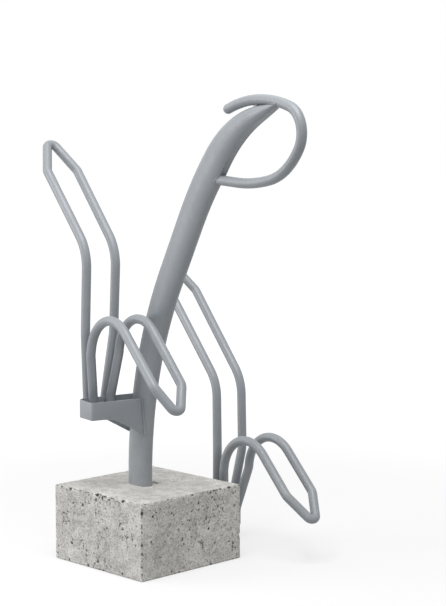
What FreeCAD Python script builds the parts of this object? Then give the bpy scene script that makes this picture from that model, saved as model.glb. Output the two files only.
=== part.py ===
import FreeCAD, Part
import math
import os

from FreeCAD import Vector

os.makedirs("parts", exist_ok=True)

# A hoop rack: an oval post cast in a concrete foot, a hoop at its head, and two holders,
# one high and one low, each with a tall and a low loop of round tube.
# Millimetres. X runs from the high holder to the low one, -Y is the open entry side, and Z is up
# from the underside of the foot, whose middle is the origin.

# Concrete foot
foot_length = 306.0
foot_width = 302.0
foot_height = 174.0
foot_edge_radius = 7.0
foot_turn = 9.86
post_x = -12.3
post_y = 11.9

# Oval post, run by run along its centre line from the top of its foot plate
post_depth = 78.0
post_width = 42.0
post_wall = 3.0
post_bottom = 31.0
post_upright = 158.5
lower_bend_radius = 890.0
lower_lean = 31.8
middle_run = 150.5
upper_bend_radius = 799.0
upper_lean = 43.0
head_bend_radius = 250.0
head_lean = 86.0

# Neck: the head of the post from its last bend on, tapered to the hoop and closed by a strip
# along its front
neck_length = 250.9
neck_rise = 26.0
neck_curve = 45.0
neck_front_width = 16.0
neck_pinch_start = 0.6
neck_pinch = 0.45
neck_wall = 3.2
neck_stations = 9
neck_bore_end = 0.85
bore_lap = -0.02
strip_end = 0.62

# Hoop: its free end lies back from the neck's tip and above it, and its turns lead over the tip,
# down and back to the post
tube_diameter = 21.3
tube_wall = 2.0
hoop_end_back = 183.1
hoop_end_rise = 28.7
hoop_heading = 18.05
hoop_radii = (347.8, 55.2, 149.5, 461.0)
hoop_turns = (35.35, 107.5, 44.5, 14.3)
hoop_root_run = 110.0
cap_spigot = 12.0

# Folded plate of the high holder
plate_thickness = 4.0
bracket_width = 78.0
bracket_reach = 149.0
bracket_top = 378.0
bracket_end_height = 39.5
bracket_root_height = 87.0
bracket_flat = 55.0
bracket_sweep_radius = 120.0
near_fold_radius = 6.0
far_fold_radius = 26.0
bracket_slope_end = 8.0
bracket_end_skew = 4.0
wrap_reach = 19.0
wrap_radius = 16.0
wrap_depth = 44.0

# Holders
high_holder_offset = 86.0
low_holder_offset = 279.2
low_holder_turn = 2.58
low_holder_level = 70.4
arm_height = 40.0
arm_root = 4.0
arm_end_margin = 1.5
leg_length = 38.0
leg_foot_radius = 60.0

# Loops: half spread, set-back from the leg and height at each knee, then the knee's radius
high_tall_leg = 23.1
high_tall_knees = ((36.9, 17.1, 147.0, 115.0), (37.7, 28.2, 334.7, 94.0), (39.4, -148.2, 509.0, 24.0))
high_tall_tip = (-219.7, 587.0, 13.0)
high_low_leg = 22.6
high_low_knees = ((36.7, 14.9, 100.8, 58.0), (36.4, 48.7, 266.3, 88.0), (34.5, 277.5, 59.2, 30.0))
high_low_tip = (323.9, -3.7, 13.0)
low_tall_leg = 21.0
low_tall_knees = ((37.7, 23.2, 147.4, 115.0), (37.1, 19.4, 312.3, 94.0), (39.1, -168.6, 515.8, 24.0))
low_tall_tip = (-240.1, 593.8, 13.0)
low_low_leg = 17.8
low_low_knees = ((38.0, 23.7, 102.8, 58.0), (36.9, 46.0, 281.8, 88.0), (38.3, 259.4, 82.6, 30.0))
low_low_tip = (320.9, 19.1, 13.0)

# Cast-in foot plate
foot_plate_length = 120.0
foot_plate_width = 90.0
foot_plate_thickness = 6.0

# Extra length of a tool that has to cut right through
cut_past = 1.0
open_space = 2000.0

# Weld beads
bead = 3.5
hoop_bead = 2.0
leg_bead_inner = 4.0
leg_bead_outer = 12.5
leg_bead_margin = 4.0

tube_radius = tube_diameter / 2
tube_bore = tube_radius - tube_wall
plate_face = bracket_width / 2
half_depth = post_depth / 2
half_width = post_width / 2


def save(shape, node):
    shape = shape.removeSplitter()
    print(node, len(shape.Solids), "solids", round(shape.Volume), "mm3", shape.isValid())
    shape.exportStep("parts/" + node + ".step")


def on_post(shape):
    """Moves a shape from the post's axis to its place on the foot."""
    moved = shape.copy()
    moved.translate(Vector(post_x, post_y, 0))
    return moved


def box(low, high):
    size = high - low
    return Part.makeBox(size.x, size.y, size.z, low)


def rounded_path(points, radii):
    """Joins straight runs with tangent arcs, one radius for each inner point."""
    edges = []
    start = points[0]
    for before, corner, after, radius in zip(points, points[1:], points[2:], radii):
        inward = (corner - before).normalize()
        outward = (after - corner).normalize()
        turn = inward.getAngle(outward)
        reach = radius * math.tan(turn / 2)
        arc_start = corner - inward * reach
        arc_end = corner + outward * reach
        side = (outward - inward).normalize()
        arc_middle = corner + side * (radius / math.cos(turn / 2) - radius)
        edges.append(Part.LineSegment(start, arc_start).toShape())
        edges.append(Part.Arc(arc_start, arc_middle, arc_end).toShape())
        start = arc_end
    edges.append(Part.LineSegment(start, points[-1]).toShape())
    return Part.Wire(edges)


def round_bar(path, radius):
    first = path.Edges[0]
    start = first.valueAt(first.FirstParameter)
    heading = first.tangentAt(first.FirstParameter)
    ring = Part.Wire(Part.makeCircle(radius, start, heading))
    return path.makePipeShell([ring], True, False)


def round_tube(path):
    return round_bar(path, tube_radius).cut(round_bar(path, tube_bore))


# Centre line of the post, in the plane x = 0

post_runs = (
    (0.0, post_upright),
    (lower_bend_radius, lower_bend_radius * math.radians(lower_lean)),
    (0.0, middle_run),
    (upper_bend_radius, upper_bend_radius * math.radians(upper_lean - lower_lean)),
    (head_bend_radius, head_bend_radius * math.radians(head_lean - upper_lean)),
)
shaft_runs = post_runs[:-1]
neck_start = sum(length for radius, length in shaft_runs)


def run_end(y, z, lean, radius, length):
    """The end of a straight run, or of a bend that leans the post further towards -Y."""
    if radius == 0:
        return y - length * math.sin(lean), z + length * math.cos(lean), lean
    end = lean + length / radius
    y_end = y - radius * (math.cos(lean) - math.cos(end))
    z_end = z + radius * (math.sin(end) - math.sin(lean))
    return y_end, z_end, end


def post_at(distance):
    """Place and lean of the post's centre line at a distance from its lower end."""
    y, z, lean = 0.0, post_bottom, 0.0
    for radius, length in post_runs:
        part = min(distance, length)
        y, z, lean = run_end(y, z, lean, radius, part)
        distance -= part
        if distance <= 0:
            break
    return y - distance * math.sin(lean), z + distance * math.cos(lean), lean


def shaft_path():
    """The centre line up to the neck, as one wire."""
    edges = []
    y, z, lean = 0.0, post_bottom, 0.0
    for radius, length in shaft_runs:
        y_end, z_end, lean_end = run_end(y, z, lean, radius, length)
        start, end = Vector(0, y, z), Vector(0, y_end, z_end)
        if radius == 0:
            edges.append(Part.LineSegment(start, end).toShape())
        else:
            y_half, z_half = run_end(y, z, lean, radius, length / 2)[:2]
            edges.append(Part.Arc(start, Vector(0, y_half, z_half), end).toShape())
        y, z, lean = y_end, z_end, lean_end
    return Part.Wire(edges)


def oval_bar(grow):
    """The post's oval section swept up to the neck, grown or shrunk all round."""
    middle = Vector(0, 0, post_bottom)
    depth_end = middle + Vector(0, half_depth + grow, 0)
    width_end = middle + Vector(half_width + grow, 0, 0)
    oval = Part.Wire(Part.Ellipse(depth_end, width_end, middle).toShape())
    return shaft_path().makePipeShell([oval], True, False)


# Neck

def neck_front(share):
    """Distance of the front strip from the centre line: it rises faster towards the tip."""
    cut = half_depth * math.sqrt(1 - (neck_front_width / post_width) ** 2)
    return -cut + neck_rise * share + neck_curve * share ** 2


def section_arc(start, end, across, along, middle, lean):
    """An arc of an oval in the section plane, from angle start to angle end in degrees."""
    arc = Part.makeCircle(1.0, Vector(0, 0, 0), Vector(0, 0, 1), start, end)
    y, z = middle
    place = FreeCAD.Matrix(
        across, 0, 0, 0,
        0, along * math.cos(lean), -math.sin(lean), y,
        0, along * math.sin(lean), math.cos(lean), z,
        0, 0, 0, 1,
    )
    return arc.transformGeometry(place).Edges[0]


def neck_front_half(share):
    """Half the width of the flat front, which is pinched towards the tip."""
    past = max(0.0, (share - neck_pinch_start) / (1 - neck_pinch_start))
    return neck_front_width / 2 * (1 - neck_pinch * past ** 2)


def neck_section(share, grow):
    """One section of the neck: an oval that narrows with its depth, cut flat at the front."""
    y, z, lean = post_at(neck_start + share * neck_length)
    front = neck_front(share) - grow
    back = half_depth + grow
    full = neck_front(0) - grow
    taper = (back - front) / (back - full)
    front_half = neck_front_half(share) + grow
    half = front_half + (half_width + grow - front_half) * math.sqrt(taper)
    level = back - back * taper
    edge = math.degrees(math.acos(front_half / half))
    lower = (level - front) / math.sin(math.radians(edge))
    middle = (y + level * math.cos(lean), z + level * math.sin(lean))
    top = section_arc(0, 180, half, back - level, middle, lean)
    left = section_arc(180, 180 + edge, half, lower, middle, lean)
    right = section_arc(360 - edge, 360, half, lower, middle, lean)
    left_end = Vector(-front_half, y + front * math.cos(lean), z + front * math.sin(lean))
    right_end = Vector(front_half, left_end.y, left_end.z)
    front_edge = Part.LineSegment(left_end, right_end).toShape()
    return Part.Wire(Part.__sortEdges__([top, left, front_edge, right]))


def neck_shares(first, last):
    step = (last - first) / (neck_stations - 1)
    return [first + step * index for index in range(neck_stations)]


def neck_bar(grow, first=0.0, last=1.0):
    sections = [neck_section(share, grow) for share in neck_shares(first, last)]
    return Part.makeLoft(sections, True, False)


def neck_curve_line(depth):
    """A smooth line in the plane x = 0, at a depth behind the neck's front."""
    points = []
    for share in neck_shares(0.0, strip_end):
        y, z, lean = post_at(neck_start + share * neck_length)
        offset = neck_front(share) + depth
        points.append(Vector(0, y + offset * math.cos(lean), z + offset * math.sin(lean)))
    line = Part.BSplineCurve()
    line.interpolate(points)
    return line.toShape(), points[0], points[-1]


def strip_band():
    """The band between the two walls of the neck that its closing strip fills."""
    front, front_start, front_end = neck_curve_line(-cut_past)
    back, back_start, back_end = neck_curve_line(neck_wall + cut_past)
    foot = Part.LineSegment(front_start, back_start).toShape()
    head = Part.LineSegment(front_end, back_end).toShape()
    face = Part.Face(Part.Wire(Part.__sortEdges__([front, head, back, foot])))
    half = (neck_front_width - post_wall) / 2
    face.translate(Vector(-half, 0, 0))
    return face.extrude(Vector(2 * half, 0, 0))


# Hoop

tip_y, tip_z = post_at(neck_start + neck_length)[:2]
hoop_end_y = tip_y + hoop_end_back
hoop_end_z = tip_z + hoop_end_rise


def hoop_path():
    edges = []
    y, z, heading = hoop_end_y, hoop_end_z, math.radians(hoop_heading)
    for radius, sweep in zip(hoop_radii, hoop_turns):
        points = [Vector(0, y, z)]
        for share in (0.5, 1.0):
            swung = heading - share * math.radians(sweep)
            y_now = y - radius * (math.sin(heading) - math.sin(swung))
            z_now = z - radius * (math.cos(heading) - math.cos(swung))
            points.append(Vector(0, y_now, z_now))
        edges.append(Part.Arc(*points).toShape())
        y, z, heading = y_now, z_now, swung
    end = Vector(0, y - hoop_root_run * math.cos(heading), z + hoop_root_run * math.sin(heading))
    edges.append(Part.LineSegment(Vector(0, y, z), end).toShape())
    return Part.Wire(edges)


# Holders

def plate_outline(inset):
    """The folded plate seen from above, its outer line moved in by inset."""
    side = plate_face - inset
    near_end = inset - bracket_reach + bracket_end_skew * (plate_face - side) / bracket_width
    far_end = inset - bracket_reach + bracket_end_skew * (plate_face + side) / bracket_width
    far = wrap_reach - inset
    points = (
        Vector(0, -side, 0),
        Vector(near_end, -side, 0),
        Vector(far_end, side, 0),
        Vector(far, side, 0),
        Vector(far, plate_face - wrap_depth, 0),
    )
    radii = (near_fold_radius - inset, far_fold_radius - inset, wrap_radius - inset)
    return rounded_path(points, radii)


def bracket_plate(grow):
    """The folded plate, full height, with a square near end and a far end round the post."""
    outer = plate_outline(-grow)
    inner = plate_outline(plate_thickness + grow)
    ends = [Part.LineSegment(outer.OrderedVertexes[index].Point, inner.OrderedVertexes[index].Point)
            for index in (0, -1)]
    edges = outer.Edges + inner.Edges + [end.toShape() for end in ends]
    face = Part.Face(Part.Wire(Part.__sortEdges__(edges)))
    face.translate(Vector(0, 0, bracket_top - bracket_root_height))
    return face.extrude(Vector(0, 0, bracket_root_height))


def bracket_side():
    """What the plate keeps, seen from the side: low at the folded end and deep at the post."""
    end = -bracket_reach - cut_past
    root = wrap_reach + cut_past
    under = bracket_top - bracket_root_height
    bend = Vector(-bracket_reach + bracket_flat, 0, bracket_top - bracket_end_height)
    slope_end = Vector(-bracket_slope_end, 0, under)
    lower = rounded_path((Vector(end, 0, bend.z), bend, slope_end), (bracket_sweep_radius,))
    corners = (slope_end, Vector(root, 0, under), Vector(root, 0, bracket_top + cut_past),
               Vector(end, 0, bracket_top + cut_past), Vector(end, 0, bend.z))
    edges = lower.Edges
    for start, finish in zip(corners, corners[1:]):
        edges.append(Part.LineSegment(start, finish).toShape())
    face = Part.Face(Part.Wire(Part.__sortEdges__(edges)))
    face.translate(Vector(0, -bracket_width, 0))
    return face.extrude(Vector(0, 2 * bracket_width, 0))


def loop_tube(leg, leg_side, knees, tip, offset, level):
    """A loop of tube: up one leg, over the tip and down the other."""
    face = plate_face if leg_side > 0 else plate_face - plate_thickness
    leg_y = face + leg_side * tube_radius
    points = [Vector(-leg, leg_y, -leg_length), Vector(-leg, leg_y, 0)]
    radii = [leg_foot_radius]
    for spread, back, height, radius in knees:
        points.append(Vector(-spread, leg_y - back, height))
        radii.append(radius)
    mirrored = [Vector(-point.x, point.y, point.z) for point in reversed(points)]
    back, height, radius = tip
    path = points + [Vector(0, leg_y - back, height)] + mirrored
    tube = round_tube(rounded_path(path, radii + [radius] + radii[::-1]))
    tube.translate(Vector(offset, 0, level))
    return tube


def leg_beads(leg, leg_side, offset, level):
    """Fillet welds down both sides of both legs of a loop."""
    face = plate_face if leg_side > 0 else plate_face - plate_thickness
    low = level - leg_length + leg_bead_margin
    length = leg_length - 2 * leg_bead_margin
    beads = []
    for place in (-leg, leg):
        axis = Vector(offset + place, face + leg_side * tube_radius, low)
        bar = Part.makeCylinder(tube_radius, length, axis)
        for side in (-1, 1):
            middle = offset + place
            corners = [
                Vector(middle + side * leg_bead_inner, face, low),
                Vector(middle + side * leg_bead_outer, face, low),
                Vector(middle + side * tube_radius, face + leg_side * tube_radius / 2, low),
                Vector(middle + side * leg_bead_inner, face + leg_side * tube_radius / 2, low),
            ]
            prism = Part.Face(Part.makePolygon(corners + corners[:1])).extrude(Vector(0, 0, length))
            beads.append(prism.cut(bar))
    return beads


def turned(shape):
    """Turns a shape of the low holder about the post's axis."""
    return shape.copy().rotate(Vector(0, 0, 0), Vector(0, 0, 1), low_holder_turn)


def largest(shape):
    return max(shape.Solids, key=lambda solid: solid.Volume)


# Post, neck and hoop
shaft = oval_bar(0)
neck = neck_bar(0)
hoop_line = hoop_path()
hoop_bar = round_bar(hoop_line, tube_radius)
head_room = box(Vector(-half_depth, -open_space, hoop_end_z - half_depth),
                Vector(half_depth, 0, open_space))
post_solid = shaft.fuse(neck)
bore = oval_bar(-post_wall).fuse(neck_bar(-neck_wall, bore_lap, neck_bore_end))
seat = hoop_bar.common(head_room)
strip = neck.common(strip_band()).cut(bore).cut(seat)
post = post_solid.cut(bore).cut(strip_band()).cut(seat)

hoop_bore = round_bar(hoop_line, tube_bore)
hoop = hoop_bar.cut(hoop_bore)
hoop = largest(hoop.cut(post_solid.cut(seat)))

hoop_mouth = hoop_line.Edges[0].valueAt(hoop_line.Edges[0].FirstParameter)
hoop_heading_out = hoop_line.Edges[0].tangentAt(hoop_line.Edges[0].FirstParameter) * -1
dome = Part.makeSphere(tube_radius, hoop_mouth)
beyond = Part.makeCylinder(tube_diameter, tube_diameter, hoop_mouth, hoop_heading_out)
spigot_room = Part.makeCylinder(tube_diameter, cap_spigot, hoop_mouth, hoop_heading_out * -1)
cap = dome.common(beyond).fuse(hoop_bore.common(spigot_room))

save(on_post(post), "post")
save(on_post(strip), "neck_strip")
save(on_post(hoop), "hoop")
save(on_post(cap), "hoop_end_cap")

# Beads where the hoop meets the post and the neck
fat_post = oval_bar(hoop_bead).fuse(neck_bar(hoop_bead))
fat_hoop = round_bar(hoop_line, tube_radius + hoop_bead)
corner_metal = fat_hoop.common(fat_post).cut(hoop_bar).cut(post_solid)
root_weld = corner_metal.cut(head_room)
seat_weld = corner_metal.common(head_room)
save(on_post(root_weld), "hoop_root_weld")
save(on_post(seat_weld), "hoop_seat_weld")

# High holder
bracket_shape = bracket_side()
bracket = largest(bracket_plate(0).common(bracket_shape).cut(shaft))
post_skin = oval_bar(bead)
bracket_welds = bracket_plate(bead).common(post_skin).common(bracket_shape).cut(shaft).cut(bracket)
save(on_post(bracket), "high_bracket")
save(on_post(bracket_welds), "high_bracket_welds")

high = (-high_holder_offset, bracket_top)
high_tall = loop_tube(high_tall_leg, 1, high_tall_knees, high_tall_tip, *high)
high_low = loop_tube(high_low_leg, -1, high_low_knees, high_low_tip, *high)
save(on_post(high_tall), "high_tall_loop")
save(on_post(high_low), "high_low_loop")
high_beads = leg_beads(high_tall_leg, 1, *high) + leg_beads(high_low_leg, -1, *high)
save(on_post(Part.makeCompound(high_beads)), "high_loop_welds")

# Low holder
arm_low = low_holder_level - arm_height
arm_end = low_holder_offset + low_tall_leg + tube_radius + arm_end_margin
arm = box(Vector(arm_root, plate_face - plate_thickness, arm_low),
          Vector(arm_end, plate_face, low_holder_level))
arm_root_space = box(Vector(arm_root, plate_face - plate_thickness - bead, arm_low),
                     Vector(arm_root + half_width, plate_face + bead, low_holder_level))
arm = turned(arm).cut(shaft)
arm_weld = turned(arm_root_space).common(post_skin).cut(shaft).cut(arm)
save(on_post(arm), "low_arm")
save(on_post(arm_weld), "low_arm_weld")
low = (low_holder_offset, low_holder_level)
low_tall = loop_tube(low_tall_leg, 1, low_tall_knees, low_tall_tip, *low)
low_low = loop_tube(low_low_leg, -1, low_low_knees, low_low_tip, *low)
save(on_post(turned(low_tall)), "low_tall_loop")
save(on_post(turned(low_low)), "low_low_loop")
low_beads = leg_beads(low_tall_leg, 1, *low) + leg_beads(low_low_leg, -1, *low)
save(on_post(turned(Part.makeCompound(low_beads))), "low_loop_welds")

# Foot
foot_plate = box(Vector(-foot_plate_width / 2, -foot_plate_length / 2, post_bottom - foot_plate_thickness),
                 Vector(foot_plate_width / 2, foot_plate_length / 2, post_bottom))
save(on_post(foot_plate), "post_foot_plate")
foot = box(Vector(-foot_length / 2, -foot_width / 2, 0), Vector(foot_length / 2, foot_width / 2, foot_height))
foot = foot.makeFillet(foot_edge_radius, foot.Edges)
foot.rotate(Vector(0, 0, 0), Vector(0, 0, 1), foot_turn)
for cast_in in (shaft, foot_plate, arm, arm_weld):
    foot = foot.cut(on_post(cast_in))
save(largest(foot), "concrete_foot")
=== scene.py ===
import math
import random

import bpy
from mathutils import Matrix, Vector
from mathutils.kdtree import KDTree


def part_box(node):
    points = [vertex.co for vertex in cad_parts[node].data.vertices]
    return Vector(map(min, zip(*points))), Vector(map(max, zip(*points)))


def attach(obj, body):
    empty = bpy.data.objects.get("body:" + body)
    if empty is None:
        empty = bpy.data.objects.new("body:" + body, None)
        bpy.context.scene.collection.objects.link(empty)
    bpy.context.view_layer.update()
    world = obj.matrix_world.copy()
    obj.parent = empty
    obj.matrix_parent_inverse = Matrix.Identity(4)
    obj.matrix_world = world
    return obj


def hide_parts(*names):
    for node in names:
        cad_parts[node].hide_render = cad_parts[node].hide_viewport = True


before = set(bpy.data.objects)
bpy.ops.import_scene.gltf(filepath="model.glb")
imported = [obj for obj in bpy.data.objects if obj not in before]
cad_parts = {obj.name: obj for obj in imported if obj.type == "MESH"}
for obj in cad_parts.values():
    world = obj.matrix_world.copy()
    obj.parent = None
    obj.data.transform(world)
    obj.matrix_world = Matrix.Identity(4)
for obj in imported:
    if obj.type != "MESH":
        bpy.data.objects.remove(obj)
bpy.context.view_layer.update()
print("frame loaded:", len(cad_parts), "nodes")


# Small helpers. Lengths are in metres, and angles in the dictionaries in degrees.

def clearSelection():
    if bpy.context.object and bpy.context.object.mode != "OBJECT":
        bpy.ops.object.mode_set(mode="OBJECT")
    bpy.ops.object.select_all(action="DESELECT")


def pick(piece):
    clearSelection()
    piece.select_set(True)
    bpy.context.view_layer.objects.active = piece


def applyModifier(piece, kind, **settings):
    pick(piece)
    modifier = piece.modifiers.new(kind.title(), kind)
    for name, value in settings.items():
        setattr(modifier, name, value)
    bpy.ops.object.modifier_apply(modifier=modifier.name)


def dress(piece, material):
    piece.data.materials.clear()
    piece.data.materials.append(material)


def mount(piece, slot, *nodes):
    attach(piece, "root")
    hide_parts(*nodes)


def copyOfNode(node, name):
    # the node's own mesh stays as it is: this is a merged copy to work on
    piece = bpy.data.objects.new(name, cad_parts[node].data.copy())
    bpy.context.scene.collection.objects.link(piece)
    pick(piece)
    bpy.ops.object.mode_set(mode="EDIT")
    bpy.ops.mesh.select_all(action="SELECT")
    bpy.ops.mesh.customdata_custom_splitnormals_clear()
    bpy.ops.mesh.remove_doubles(threshold=0.000005)
    bpy.ops.mesh.normals_make_consistent(inside=False)
    bpy.ops.object.mode_set(mode="OBJECT")
    return piece


# Material nodes

def startMaterial(name):
    material = bpy.data.materials.new(name)
    material.use_nodes = True
    tree = material.node_tree
    return material, tree, tree.nodes["Principled BSDF"]


def addNode(tree, kind, inputs=None, **settings):
    node = tree.nodes.new(kind)
    for name, value in settings.items():
        setattr(node, name, value)
    for name, value in (inputs or {}).items():
        if isinstance(value, bpy.types.NodeSocket):
            tree.links.new(value, node.inputs[name])
        else:
            node.inputs[name].default_value = value
    return node


def mathNode(tree, operation, first, second):
    return addNode(tree, "ShaderNodeMath", {0: first, 1: second}, operation=operation).outputs[0]


def times(tree, first, second):
    return mathNode(tree, "MULTIPLY", first, second)


def plus(tree, first, second):
    return mathNode(tree, "ADD", first, second)


def minus(tree, first, second):
    return mathNode(tree, "SUBTRACT", first, second)


def larger(tree, first, second):
    return mathNode(tree, "MAXIMUM", first, second)


def ramp(tree, value, window, result=(0.0, 1.0)):
    # while value crosses the window, the result goes smoothly from its first number to its second
    return addNode(tree, "ShaderNodeMapRange",
                   {"Value": value, "From Min": window[0], "From Max": window[1],
                    "To Min": result[0], "To Max": result[1]},
                   interpolation_type="SMOOTHSTEP").outputs["Result"]


def mixColour(tree, factor, first, second):
    return addNode(tree, "ShaderNodeMix", {"Factor": factor, 6: first, 7: second},
                   data_type="RGBA").outputs[2]


def noise(tree, place, scale, detail=3.0, roughness=0.5):
    return addNode(tree, "ShaderNodeTexNoise",
                   {"Vector": place, "Scale": scale, "Detail": detail,
                    "Roughness": roughness}).outputs["Fac"]


def heightOf(tree, vector):
    return addNode(tree, "ShaderNodeSeparateXYZ", {0: vector}).outputs["Z"]


def ownAttribute(tree, name):
    return addNode(tree, "ShaderNodeAttribute", attribute_name=name).outputs["Fac"]


def giveRelief(tree, shader, height, strength, depth):
    bump = addNode(tree, "ShaderNodeBump",
                   {"Height": height, "Strength": strength, "Distance": depth})
    tree.links.new(bump.outputs[0], shader.inputs["Normal"])


# Powder coat: satin, a little thinner in places, with dust on it near the ground

powderCoat = {
    "colour": (0.267, 0.286, 0.306, 1.0),
    "thinColour": (0.246, 0.266, 0.286, 1.0),
    "thinScale": 9.0,
    "roughness": (0.39, 0.49),
    "roughnessScale": 60.0,
    "specular": 0.60,
    "peelScale": 520.0,
    "peelDepth": 0.000012,
    "peelStrength": 0.3,
    "dustColour": (0.47, 0.465, 0.45, 1.0),
    "dustScale": 26.0,
    "dustPatches": (0.42, 0.68),
    "dustHeights": (0.17, 0.30),
    "dust": 0.16,
    "noiseMiddle": (0.3, 0.7),
}


def makePowderCoat(v):
    material, tree, shader = startMaterial("blueGreyPowderCoat")
    place = addNode(tree, "ShaderNodeTexCoord").outputs["Object"]
    thin = ramp(tree, noise(tree, place, v["thinScale"], detail=4.0), v["noiseMiddle"])
    coat = mixColour(tree, thin, v["colour"], v["thinColour"])
    patches = noise(tree, place, v["dustScale"], detail=5.0, roughness=0.65)
    nearGround = ramp(tree, heightOf(tree, place), v["dustHeights"], (v["dust"], 0.0))
    dusty = times(tree, ramp(tree, patches, v["dustPatches"]), nearGround)
    tree.links.new(mixColour(tree, dusty, coat, v["dustColour"]), shader.inputs["Base Color"])
    satin = noise(tree, place, v["roughnessScale"], detail=2.0)
    tree.links.new(ramp(tree, satin, v["noiseMiddle"], v["roughness"]), shader.inputs["Roughness"])
    shader.inputs["Specular IOR Level"].default_value = v["specular"]
    peel = noise(tree, place, v["peelScale"], detail=2.0)
    giveRelief(tree, shader, peel, v["peelStrength"], v["peelDepth"])
    return material


# Bare mill steel with rust, for what is cast in

bareSteel = {
    "colour": (0.30, 0.29, 0.28, 1.0),
    "rustColour": (0.16, 0.085, 0.045, 1.0),
    "rustScale": 55.0,
    "rustPatches": (0.5, 0.66),
    "rustMetal": 0.1,
    "roughness": 0.55,
    "skinScale": 700.0,
    "skinDepth": 0.0001,
    "skinStrength": 0.5,
}


def makeBareSteel(v):
    material, tree, shader = startMaterial("bareMillSteel")
    place = addNode(tree, "ShaderNodeTexCoord").outputs["Object"]
    rust = noise(tree, place, v["rustScale"], detail=6.0, roughness=0.7)
    rust = ramp(tree, rust, v["rustPatches"])
    tree.links.new(mixColour(tree, rust, v["colour"], v["rustColour"]), shader.inputs["Base Color"])
    tree.links.new(ramp(tree, rust, (0.0, 1.0), (1.0, v["rustMetal"])), shader.inputs["Metallic"])
    shader.inputs["Roughness"].default_value = v["roughness"]
    giveRelief(tree, shader, noise(tree, place, v["skinScale"]), v["skinStrength"], v["skinDepth"])
    return material


# Cast concrete: rough sides as they left the mould, and a trowelled top

castConcrete = {
    "pale": (0.720, 0.708, 0.680, 1.0),
    "mid": (0.395, 0.388, 0.370, 1.0),
    "sandColour": (0.205, 0.200, 0.186, 1.0),
    "limeColour": (0.820, 0.810, 0.785, 1.0),
    # painted shade: this near-black for pits and voids stands for the shade inside them
    "poreShadeColour": (0.035, 0.034, 0.031, 1.0),
    "topNormals": (0.75, 0.95),
    "mottleScale": 38.0,
    "mottleWindow": (0.38, 0.62),
    "mottleShare": 0.56,
    "broadScale": 6.0,
    "broadWindow": (0.35, 0.65),
    "broadShare": 0.26,
    "streakScale": 9.0,
    "streakStretch": (1.0, 1.0, 6.0),
    "streakWindow": (0.36, 0.64),
    "streakShare": 0.18,
    "sandScale": 260.0,
    "darkSand": (0.475, 0.355),
    "darkShareSides": 0.95,
    "darkShareTop": 0.80,
    "limeSand": (0.53, 0.63),
    "limeShare": 0.65,
    "pitScale": 122.0,
    "pitWindow": (0.380, 0.342),
    "pitShadeShare": 0.90,
    "voidShadeShare": 0.93,
    "clumpScale": 15.0,
    "clumpWindow": (0.35, 0.65),
    "clumpMore": (-0.058, 0.054),
    "topFewer": 0.026,
    "highUp": (0.10, 0.17),
    "highMore": 0.018,
    "edgeMore": 0.045,
    "roughness": 0.93,
    "specular": 0.25,
    "mottleRelief": 0.6,
    "sandRelief": 0.5,
    "pitRelief": 0.7,
    "reliefDepth": 0.0022,
    "reliefSides": 0.95,
    "reliefTop": 0.70,
}


def makeConcrete(v):
    material, tree, shader = startMaterial("castConcrete")
    place = addNode(tree, "ShaderNodeTexCoord").outputs["Object"]
    normal = addNode(tree, "ShaderNodeNewGeometry").outputs["Normal"]
    top = ramp(tree, heightOf(tree, normal), v["topNormals"])
    sides = minus(tree, 1.0, top)

    # cement: a fine mottle, broad clouds and level streaks from the pour
    mottle = noise(tree, place, v["mottleScale"], detail=9.0, roughness=0.74)
    broad = noise(tree, place, v["broadScale"])
    level = addNode(tree, "ShaderNodeVectorMath", {0: place, 1: v["streakStretch"]},
                    operation="MULTIPLY").outputs[0]
    streak = noise(tree, level, v["streakScale"], detail=4.0, roughness=0.6)
    shade = times(tree, ramp(tree, mottle, v["mottleWindow"]), v["mottleShare"])
    shade = plus(tree, shade, times(tree, ramp(tree, broad, v["broadWindow"]), v["broadShare"]))
    shade = plus(tree, shade, times(tree, ramp(tree, streak, v["streakWindow"]), v["streakShare"]))
    colour = mixColour(tree, shade, v["mid"], v["pale"])

    # sand: dark and light grains, the dark ones weaker where the top was trowelled
    sand = noise(tree, place, v["sandScale"], detail=5.0, roughness=0.75)
    darkShare = ramp(tree, top, (0.0, 1.0), (v["darkShareSides"], v["darkShareTop"]))
    colour = mixColour(tree, times(tree, ramp(tree, sand, v["darkSand"]), darkShare),
                       colour, v["sandColour"])
    colour = mixColour(tree, times(tree, ramp(tree, sand, v["limeSand"]), v["limeShare"]),
                       colour, v["limeColour"])

    # pits: ragged and in clumps, more of them high up and along the edges, fewer on the top; they
    # are painted near-black as painted shade inside the pores
    clump = ramp(tree, noise(tree, place, v["clumpScale"]), v["clumpWindow"], v["clumpMore"])
    ragged = minus(tree, noise(tree, place, v["pitScale"], detail=6.0, roughness=0.72), clump)
    ragged = plus(tree, ragged, times(tree, top, v["topFewer"]))
    high = ramp(tree, heightOf(tree, place), v["highUp"], (0.0, v["highMore"]))
    ragged = minus(tree, ragged, times(tree, sides, high))
    ragged = minus(tree, ragged, times(tree, ownAttribute(tree, "nearEdge"), v["edgeMore"]))
    pits = ramp(tree, ragged, v["pitWindow"])
    colour = mixColour(tree, times(tree, pits, v["pitShadeShare"]), colour, v["poreShadeColour"])
    # painted shade: a point deep in a cut void or chip is painted darker, down to near-black
    voidShade = times(tree, ownAttribute(tree, "voidDepth"), v["voidShadeShare"])
    colour = mixColour(tree, voidShade, colour, v["poreShadeColour"])
    tree.links.new(colour, shader.inputs["Base Color"])

    shader.inputs["Roughness"].default_value = v["roughness"]
    shader.inputs["Specular IOR Level"].default_value = v["specular"]
    relief = plus(tree, times(tree, mottle, v["mottleRelief"]), times(tree, sand, v["sandRelief"]))
    relief = minus(tree, relief, times(tree, pits, v["pitRelief"]))
    strength = ramp(tree, sides, (0.0, 1.0), (v["reliefTop"], v["reliefSides"]))
    giveRelief(tree, shader, relief, strength, v["reliefDepth"])
    return material


coatMaterial = makePowderCoat(powderCoat)
steelMaterial = makeBareSteel(bareSteel)
concreteMaterial = makeConcrete(castConcrete)
hiddenNodes = ("post_foot_plate", "low_arm_weld")
for nodeName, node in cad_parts.items():
    dress(node, steelMaterial if nodeName in hiddenNodes else coatMaterial)
print("materials made")


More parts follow.
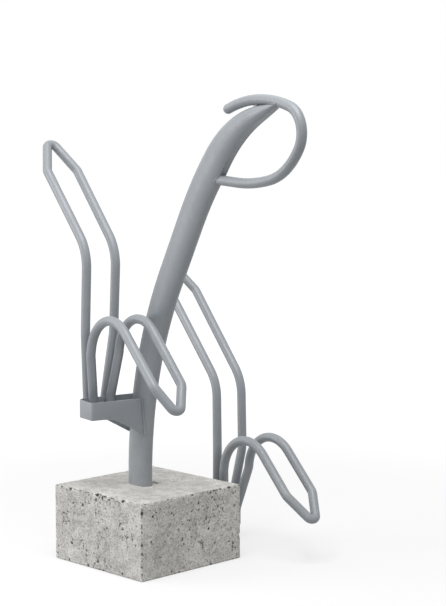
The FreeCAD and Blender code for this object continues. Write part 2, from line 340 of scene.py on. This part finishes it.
# Concrete foot: a cast block with open pores, broken edges and a rough skin.
# Chips are (share of the edge, radius). Clusters are (face, share along, share up): face 1 is the
# front right one and face 0 the front left one, both from their left. Gaps are (x, y, radius).

footBlock = {
    "length": 0.306,
    "width": 0.302,
    "turn": 9.86,
    "edge": 0.0055,
    "edgeSegments": 4,
    "voxel": 0.0016,
    "facesKept": 0.56,
    "poresPerFace": 70,
    "topPores": 12,
    "poreRadius": (0.0010, 0.0030),
    "poreSink": (-0.3, 0.3),
    "poreSmallness": 2.5,
    "faceShare": 0.95,
    "chipRadius": (0.0022, 0.0048),
    "chipSink": (-0.5, 0.1),
    "chipSmallness": 3,
    "chipSpacing": 0.012,
    "leftChips": ((0.19, 0.0045), (0.31, 0.0033), (0.50, 0.0055), (0.66, 0.0034), (0.79, 0.0055)),
    "rightChips": ((0.26, 0.0030), (0.50, 0.0040), (0.58, 0.0030), (0.88, 0.0046), (0.94, 0.0030)),
    "frontChips": ((0.10, 0.0024), (0.19, 0.0030), (0.27, 0.0022), (0.36, 0.0028), (0.47, 0.0032),
                   (0.55, 0.0022), (0.63, 0.0028), (0.72, 0.0032), (0.83, 0.0026), (0.92, 0.0024)),
    "placedSink": -0.55,
    "clusters": ((1, 0.26, 0.86), (1, 0.38, 0.67), (1, 0.64, 0.60),
                 (0, 0.20, 0.86), (0, 0.37, 0.84)),
    "clusterPores": 9,
    "clusterSpread": 0.0065,
    "clusterSmallness": 1.5,
    "footGaps": ((0.0230, -0.0030, 0.0050), (0.0238, 0.0050, 0.0062), (0.0234, 0.0140, 0.0056)),
    "pebble": (0.7, 1.35),  # how much an axis of a pebble is squashed or stretched
    "wave": (0.070, 0.0006),  # size and depth, as for rough and fine
    "rough": (0.012, 0.0007),
    "fine": (0.0042, 0.0006),
    "skinDetail": 3,
    "markReach": 1.35,
    "markFrom": 0.0012,
    "markDark": 0.5,
    "edgeBand": 0.010,
    "seed": 11,
}


def faceFrames(low, high):
    # middle, outward normal and the two half edges of the five faces that show
    middle = (low + high) / 2
    half = (high - low) / 2
    faces = []
    for axis, sign in ((0, -1), (0, 1), (1, -1), (1, 1), (2, 1)):
        normal = Vector((0, 0, 0))
        normal[axis] = sign
        alongs = []
        for other in range(3):
            if other != axis:
                along = Vector((0, 0, 0))
                along[other] = half[other]
                alongs.append(along)
        faces.append((middle + normal * half[axis], normal, alongs))
    return faces


def blockEdges(low, high):
    corners = [Vector((low.x, low.y, 0)), Vector((high.x, low.y, 0)),
               Vector((high.x, high.y, 0)), Vector((low.x, high.y, 0))]
    up = Vector((0, 0, high.z))
    edges = []
    for index, corner in enumerate(corners):
        following = corners[(index + 1) % 4]
        edges += [(corner + up, following + up), (corner, following), (corner, corner + up)]
    return edges


def between(pair, share):
    return pair[0] + share * (pair[1] - pair[0])


def onEdge(start, end, share, radius, sink, middle):
    # a chip's place: on the edge, moved outwards by sink times the radius, inwards below zero
    place = start.lerp(end, share)
    along = (end - start).normalized()
    outward = place - middle
    outward -= along * outward.dot(along)
    return place + outward.normalized() * radius * sink


def clusterSpot(face, along, up, low, high):
    spot = Vector((low.x, high.y, up * high.z))
    if face == 0:
        return spot + Vector((0, 1, 0)) * along * (low.y - high.y)
    return spot + Vector((along * (high.x - low.x), low.y - high.y, 0))


def voidPlaces(v, low, high, dice):
    # place and radius of every void: scattered pores, edge chips, placed chips, clusters and gaps
    places = []
    for middle, normal, alongs in faceFrames(low, high):
        for _ in range(v["topPores"] if normal.z > 0 else v["poresPerFace"]):
            radius = between(v["poreRadius"], dice.random() ** v["poreSmallness"])
            place = middle + alongs[0] * dice.uniform(-v["faceShare"], v["faceShare"])
            place += alongs[1] * dice.uniform(-v["faceShare"], v["faceShare"])
            places.append((place + normal * radius * dice.uniform(*v["poreSink"]), radius))

    middle = (low + high) / 2
    for start, end in blockEdges(low, high):
        for _ in range(round((end - start).length / v["chipSpacing"])):
            radius = between(v["chipRadius"], dice.random() ** v["chipSmallness"])
            share = dice.random()
            sink = dice.uniform(*v["chipSink"])
            places.append((onEdge(start, end, share, radius, sink, middle), radius))

    front = Vector((low.x, low.y, high.z))
    placed = ((Vector((low.x, high.y, high.z)), front, v["leftChips"]),
              (front, Vector((high.x, low.y, high.z)), v["rightChips"]),
              (Vector((low.x, low.y, 0)), front, v["frontChips"]))
    for start, end, chips in placed:
        for share, radius in chips:
            places.append((onEdge(start, end, share, radius, v["placedSink"], middle), radius))

    for face, along, up in v["clusters"]:
        spot = clusterSpot(face, along, up, low, high)
        for _ in range(v["clusterPores"]):
            radius = between(v["poreRadius"], dice.random() ** v["clusterSmallness"])
            shift = Vector([dice.gauss(0, v["clusterSpread"]) for _ in range(3)])
            shift[face] = radius * dice.uniform(*v["poreSink"])
            places.append((spot + shift, radius))

    for gapX, gapY, radius in v["footGaps"]:
        gap = Vector((gapX, gapY, high.z))
        gap.rotate(Matrix.Rotation(math.radians(-v["turn"]), 3, "Z"))
        places.append((gap, radius))
    return places


def addPebble(v, place, size, dice):
    # a lumpy pebble, used to cut a void
    bpy.ops.mesh.primitive_ico_sphere_add(subdivisions=2, radius=size, location=place)
    pebble = bpy.context.object
    pebble.scale = [dice.uniform(*v["pebble"]) for _ in range(3)]
    pebble.rotation_euler = [dice.uniform(0, math.tau) for _ in range(3)]
    return pebble


def cutVoids(v, block, places, dice):
    clearSelection()
    pebbles = [addPebble(v, place, radius, dice) for place, radius in places]
    clearSelection()
    for pebble in pebbles:
        pebble.select_set(True)
    bpy.context.view_layer.objects.active = pebbles[0]
    bpy.ops.object.join()
    cutter = bpy.context.object
    bpy.ops.object.transform_apply(location=True, rotation=True, scale=True)
    applyModifier(block, "BOOLEAN", operation="DIFFERENCE", solver="EXACT", use_self=True,
                  object=cutter)
    bpy.data.objects.remove(cutter)
    print("block voids cut:", len(places))


def roughenSkin(v, block):
    # inwards only, so that the block stays in its box, and not at the ground
    applyModifier(block, "REMESH", mode="VOXEL", voxel_size=v["voxel"])
    skin = block.vertex_groups.new(name="skin")
    onSkin = [vertex.index for vertex in block.data.vertices if vertex.co.z > v["edge"]]
    skin.add(onSkin, 1.0, "REPLACE")
    for size, depth in (v["wave"], v["rough"], v["fine"]):
        cloud = bpy.data.textures.new("castSkin", "CLOUDS")
        cloud.noise_scale = size
        cloud.noise_depth = v["skinDetail"]
        applyModifier(block, "DISPLACE", texture=cloud, texture_coords="LOCAL", strength=depth,
                      mid_level=1.0, vertex_group="skin")
    block.vertex_groups.clear()
    applyModifier(block, "DECIMATE", ratio=v["facesKept"])


def markVoids(v, block, places):
    # for the material: voidDepth is how far down in a void a point lies, 0 to 1, which the material
    # paints as shade, and nearEdge how near it is to the block's edges
    finder = KDTree(len(places))
    for index, (place, radius) in enumerate(places):
        finder.insert(place, index)
    finder.balance()
    widest = v["markReach"] * max(radius for place, radius in places)
    half = Vector((v["length"] / 2, v["width"] / 2, 0))
    height = block.dimensions.z
    depths, edges = [], []
    for vertex in block.data.vertices:
        x, y, z = vertex.co
        inset, nextInset, _ = sorted((half.x - abs(x), half.y - abs(y), height - z))
        edges.append(max(1 - nextInset / v["edgeBand"], 0.0))
        depth = 0.0
        for place, index, distance in finder.find_range(vertex.co, widest):
            radius = places[index][1]
            if distance < radius * v["markReach"]:
                depth = max(depth, min((inset - v["markFrom"]) / (radius * v["markDark"]), 1.0))
        depths.append(depth)
    block.data.attributes.new("voidDepth", "FLOAT", "POINT").data.foreach_set("value", depths)
    block.data.attributes.new("nearEdge", "FLOAT", "POINT").data.foreach_set("value", edges)


def makeFootBlock(v):
    dice = random.Random(v["seed"])
    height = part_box("concrete_foot")[1].z
    low = Vector((-v["length"] / 2, -v["width"] / 2, 0))
    high = Vector((v["length"] / 2, v["width"] / 2, height))
    clearSelection()
    bpy.ops.mesh.primitive_cube_add(size=1, location=(low + high) / 2)
    block = bpy.context.object
    block.name = "cast_foot"
    block.scale = high - low
    bpy.ops.object.transform_apply(location=True, rotation=True, scale=True)
    bpy.ops.object.mode_set(mode="EDIT")
    bpy.ops.mesh.select_all(action="SELECT")
    bpy.ops.mesh.bevel(offset=v["edge"], segments=v["edgeSegments"], affect="EDGES")
    bpy.ops.object.mode_set(mode="OBJECT")

    places = voidPlaces(v, low, high, dice)
    cutVoids(v, block, places, dice)
    roughenSkin(v, block)
    markVoids(v, block, places)
    pick(block)
    block.data.transform(Matrix.Rotation(math.radians(v["turn"]), 4, "Z"))
    bpy.ops.object.shade_smooth()
    dress(block, concreteMaterial)
    mount(block, "concrete", "concrete_foot")
    print("concrete foot:", len(block.data.polygons), "faces")


makeFootBlock(footBlock)


# Weld beads: each follows its CAD bead, with the ripples of a hand weld along one axis.
# A row is node, piece, ripple axis, how much is ground off, and the ripples' depth.

weldBeads = {
    "voxel": 0.0005,
    "ripplePitch": 0.0024,
    "rippleMiddle": 0.6,
    "bandPeriod": 0.628,
    "noRipple": 1000.0,
    "lumpSize": 0.006,
    "lumpPerRipple": 1.2,
    "smoothing": 0.5,
    "smoothRounds": 2,
    "beads": (
        ("hoop_root_weld", "root_bead", "z", 0.0004, 0.0005),
        ("hoop_seat_weld", "seat_bead", "y", 0.0004, 0.0005),
        ("high_bracket_welds", "bracket_beads", "z", 0.0007, 0.0002),
        ("high_loop_welds", "high_leg_beads", "z", 0.0003, 0.0005),
        ("low_loop_welds", "low_leg_beads", "z", 0.0003, 0.0005),
    ),
}


def rippleGuide(v, axis):
    # scales the band texture so that its own period is one ripple along the axis, and so long
    # along the other two that no bands show there
    guide = bpy.data.objects.new("rippleGuide", None)
    bpy.context.scene.collection.objects.link(guide)
    ripple = v["ripplePitch"] / v["bandPeriod"]
    guide.scale = [ripple if name == axis else v["noRipple"] for name in "xyz"]
    bpy.context.view_layer.update()
    return guide


def makeWeldBead(v, node, name, axis, groundOff, ripple):
    bead = copyOfNode(node, name)
    applyModifier(bead, "REMESH", mode="VOXEL", voxel_size=v["voxel"])
    bands = bpy.data.textures.new("weldRipple", "WOOD")
    bands.wood_type = "BANDS"
    bands.noise_basis_2 = "SIN"
    guide = rippleGuide(v, axis)
    applyModifier(bead, "DISPLACE", texture=bands, texture_coords="OBJECT",
                  texture_coords_object=guide, strength=ripple, mid_level=v["rippleMiddle"])
    bpy.data.objects.remove(guide)
    applyModifier(bead, "DISPLACE", strength=-groundOff, mid_level=0.0)
    lumps = bpy.data.textures.new("weldLumps", "CLOUDS")
    lumps.noise_scale = v["lumpSize"]
    applyModifier(bead, "DISPLACE", texture=lumps, texture_coords="LOCAL",
                  strength=ripple * v["lumpPerRipple"], mid_level=0.5)
    applyModifier(bead, "SMOOTH", factor=v["smoothing"], iterations=v["smoothRounds"])
    pick(bead)
    bpy.ops.object.shade_smooth()
    dress(bead, coatMaterial)
    mount(bead, "powder_coat", node)
    print(name, len(bead.data.polygons), "faces")


for beadRow in weldBeads["beads"]:
    makeWeldBead(weldBeads, *beadRow)


# Plates: copies with the small round edge that a coat leaves on cut steel

platePieces = {
    "edge": 0.0007,
    "edgeSegments": 3,
    "sharp": 35.0,
    "flat": 1.0,
    "plates": (("high_bracket", "bracket_plate"), ("low_arm", "arm_bar")),
}


def makePlate(v, node, name):
    plate = copyOfNode(node, name)
    applyModifier(plate, "DECIMATE", decimate_type="DISSOLVE", angle_limit=math.radians(v["flat"]))
    applyModifier(plate, "BEVEL", width=v["edge"], segments=v["edgeSegments"], limit_method="ANGLE",
                  angle_limit=math.radians(v["sharp"]), use_clamp_overlap=True)
    pick(plate)
    bpy.ops.object.shade_smooth_by_angle(angle=math.radians(v["sharp"]))
    dress(plate, coatMaterial)
    mount(plate, "powder_coat", node)
    print(name, len(plate.data.polygons), "faces")


for plateNode, plateName in platePieces["plates"]:
    makePlate(platePieces, plateNode, plateName)


# Floor, light and camera. The floor looks paler to the camera and to gloss than to other light,
# and paler still with distance, so that it meets the white backdrop without an edge.

studio = {
    "floorSize": 60.0,
    "floorColour": 0.50,
    "floorSeenColour": 0.30,
    "floorRoughness": 0.9,
    "floorLifts": (0.630, 0.900),
    "floorFade": (0.7, 2.8),
    "air": 0.49,
    "gloss": 1.0,
    "aim": (0.0, -0.05, 0.45),
    "lamps": (
        ("top_lamp", (-0.70, -0.90, 3.45), 2.2, 100.0),
        ("side_lamp", (-2.56, 1.71, 1.25), 2.0, 42.0),
    ),
}


def aimAt(thing, target):
    direction = Vector(target) - thing.location
    thing.rotation_euler = direction.to_track_quat("-Z", "Y").to_euler()


def makeFloor(v):
    clearSelection()
    bpy.ops.mesh.primitive_plane_add(size=v["floorSize"], location=(0, 0, 0))
    floor = bpy.context.object
    floor.name = "studio_floor"
    material, tree, shader = startMaterial("paleFloor")
    rays = addNode(tree, "ShaderNodeLightPath")
    seen = larger(tree, rays.outputs["Is Camera Ray"], rays.outputs["Is Glossy Ray"])
    grey = ramp(tree, seen, (0.0, 1.0), (v["floorColour"], v["floorSeenColour"]))
    paint = addNode(tree, "ShaderNodeCombineColor", {0: grey, 1: grey, 2: grey}).outputs[0]
    tree.links.new(paint, shader.inputs["Base Color"])
    shader.inputs["Roughness"].default_value = v["floorRoughness"]
    shader.inputs["Specular IOR Level"].default_value = 0.0
    shader.inputs["Emission Color"].default_value = (1, 1, 1, 1)
    place = addNode(tree, "ShaderNodeTexCoord").outputs["Object"]
    away = addNode(tree, "ShaderNodeVectorMath", {0: place}, operation="LENGTH").outputs["Value"]
    lift = ramp(tree, away, v["floorFade"], v["floorLifts"])
    tree.links.new(times(tree, seen, lift), shader.inputs["Emission Strength"])
    dress(floor, material)


def makeWorld(v):
    world = bpy.data.worlds.new("paleStudio")
    bpy.context.scene.world = world
    world.use_nodes = True
    tree = world.node_tree
    rays = addNode(tree, "ShaderNodeLightPath")
    seen = larger(tree, rays.outputs["Is Camera Ray"], rays.outputs["Is Transmission Ray"])
    dim = ramp(tree, rays.outputs["Is Glossy Ray"], (0.0, 1.0), (v["air"], v["gloss"]))
    sky = tree.nodes["Background"]
    sky.inputs["Color"].default_value = (1, 1, 1, 1)
    tree.links.new(larger(tree, seen, dim), sky.inputs["Strength"])


def makeLamp(name, place, size, power, aim):
    lamp = bpy.data.lights.new(name, "AREA")
    lamp.shape = "SQUARE"
    lamp.size = size
    lamp.energy = power
    thing = bpy.data.objects.new(name, lamp)
    bpy.context.scene.collection.objects.link(thing)
    thing.location = place
    aimAt(thing, aim)


makeFloor(studio)
makeWorld(studio)
for lampName, lampPlace, lampSize, lampPower in studio["lamps"]:
    makeLamp(lampName, lampPlace, lampSize, lampPower, studio["aim"])


# The photograph's own viewpoint, worked out from the edges of the square foot.
# Lens and film are in millimetres.

viewpoint = {
    "place": (-1.9533, -3.1301, 0.9575),
    "tilt": 84.31,
    "turn": -34.65,
    "lens": 96.99,
    "film": 36.0,
}


def makeCamera(v):
    camera = bpy.data.cameras.new("front_camera")
    camera.sensor_fit = "VERTICAL"
    camera.sensor_height = v["film"]
    camera.lens = v["lens"]
    thing = bpy.data.objects.new("front_camera", camera)
    bpy.context.scene.collection.objects.link(thing)
    thing.location = v["place"]
    thing.rotation_euler = (math.radians(v["tilt"]), 0, math.radians(v["turn"]))
    bpy.context.scene.camera = thing


makeCamera(viewpoint)
bpy.context.scene.view_settings.view_transform = "Standard"
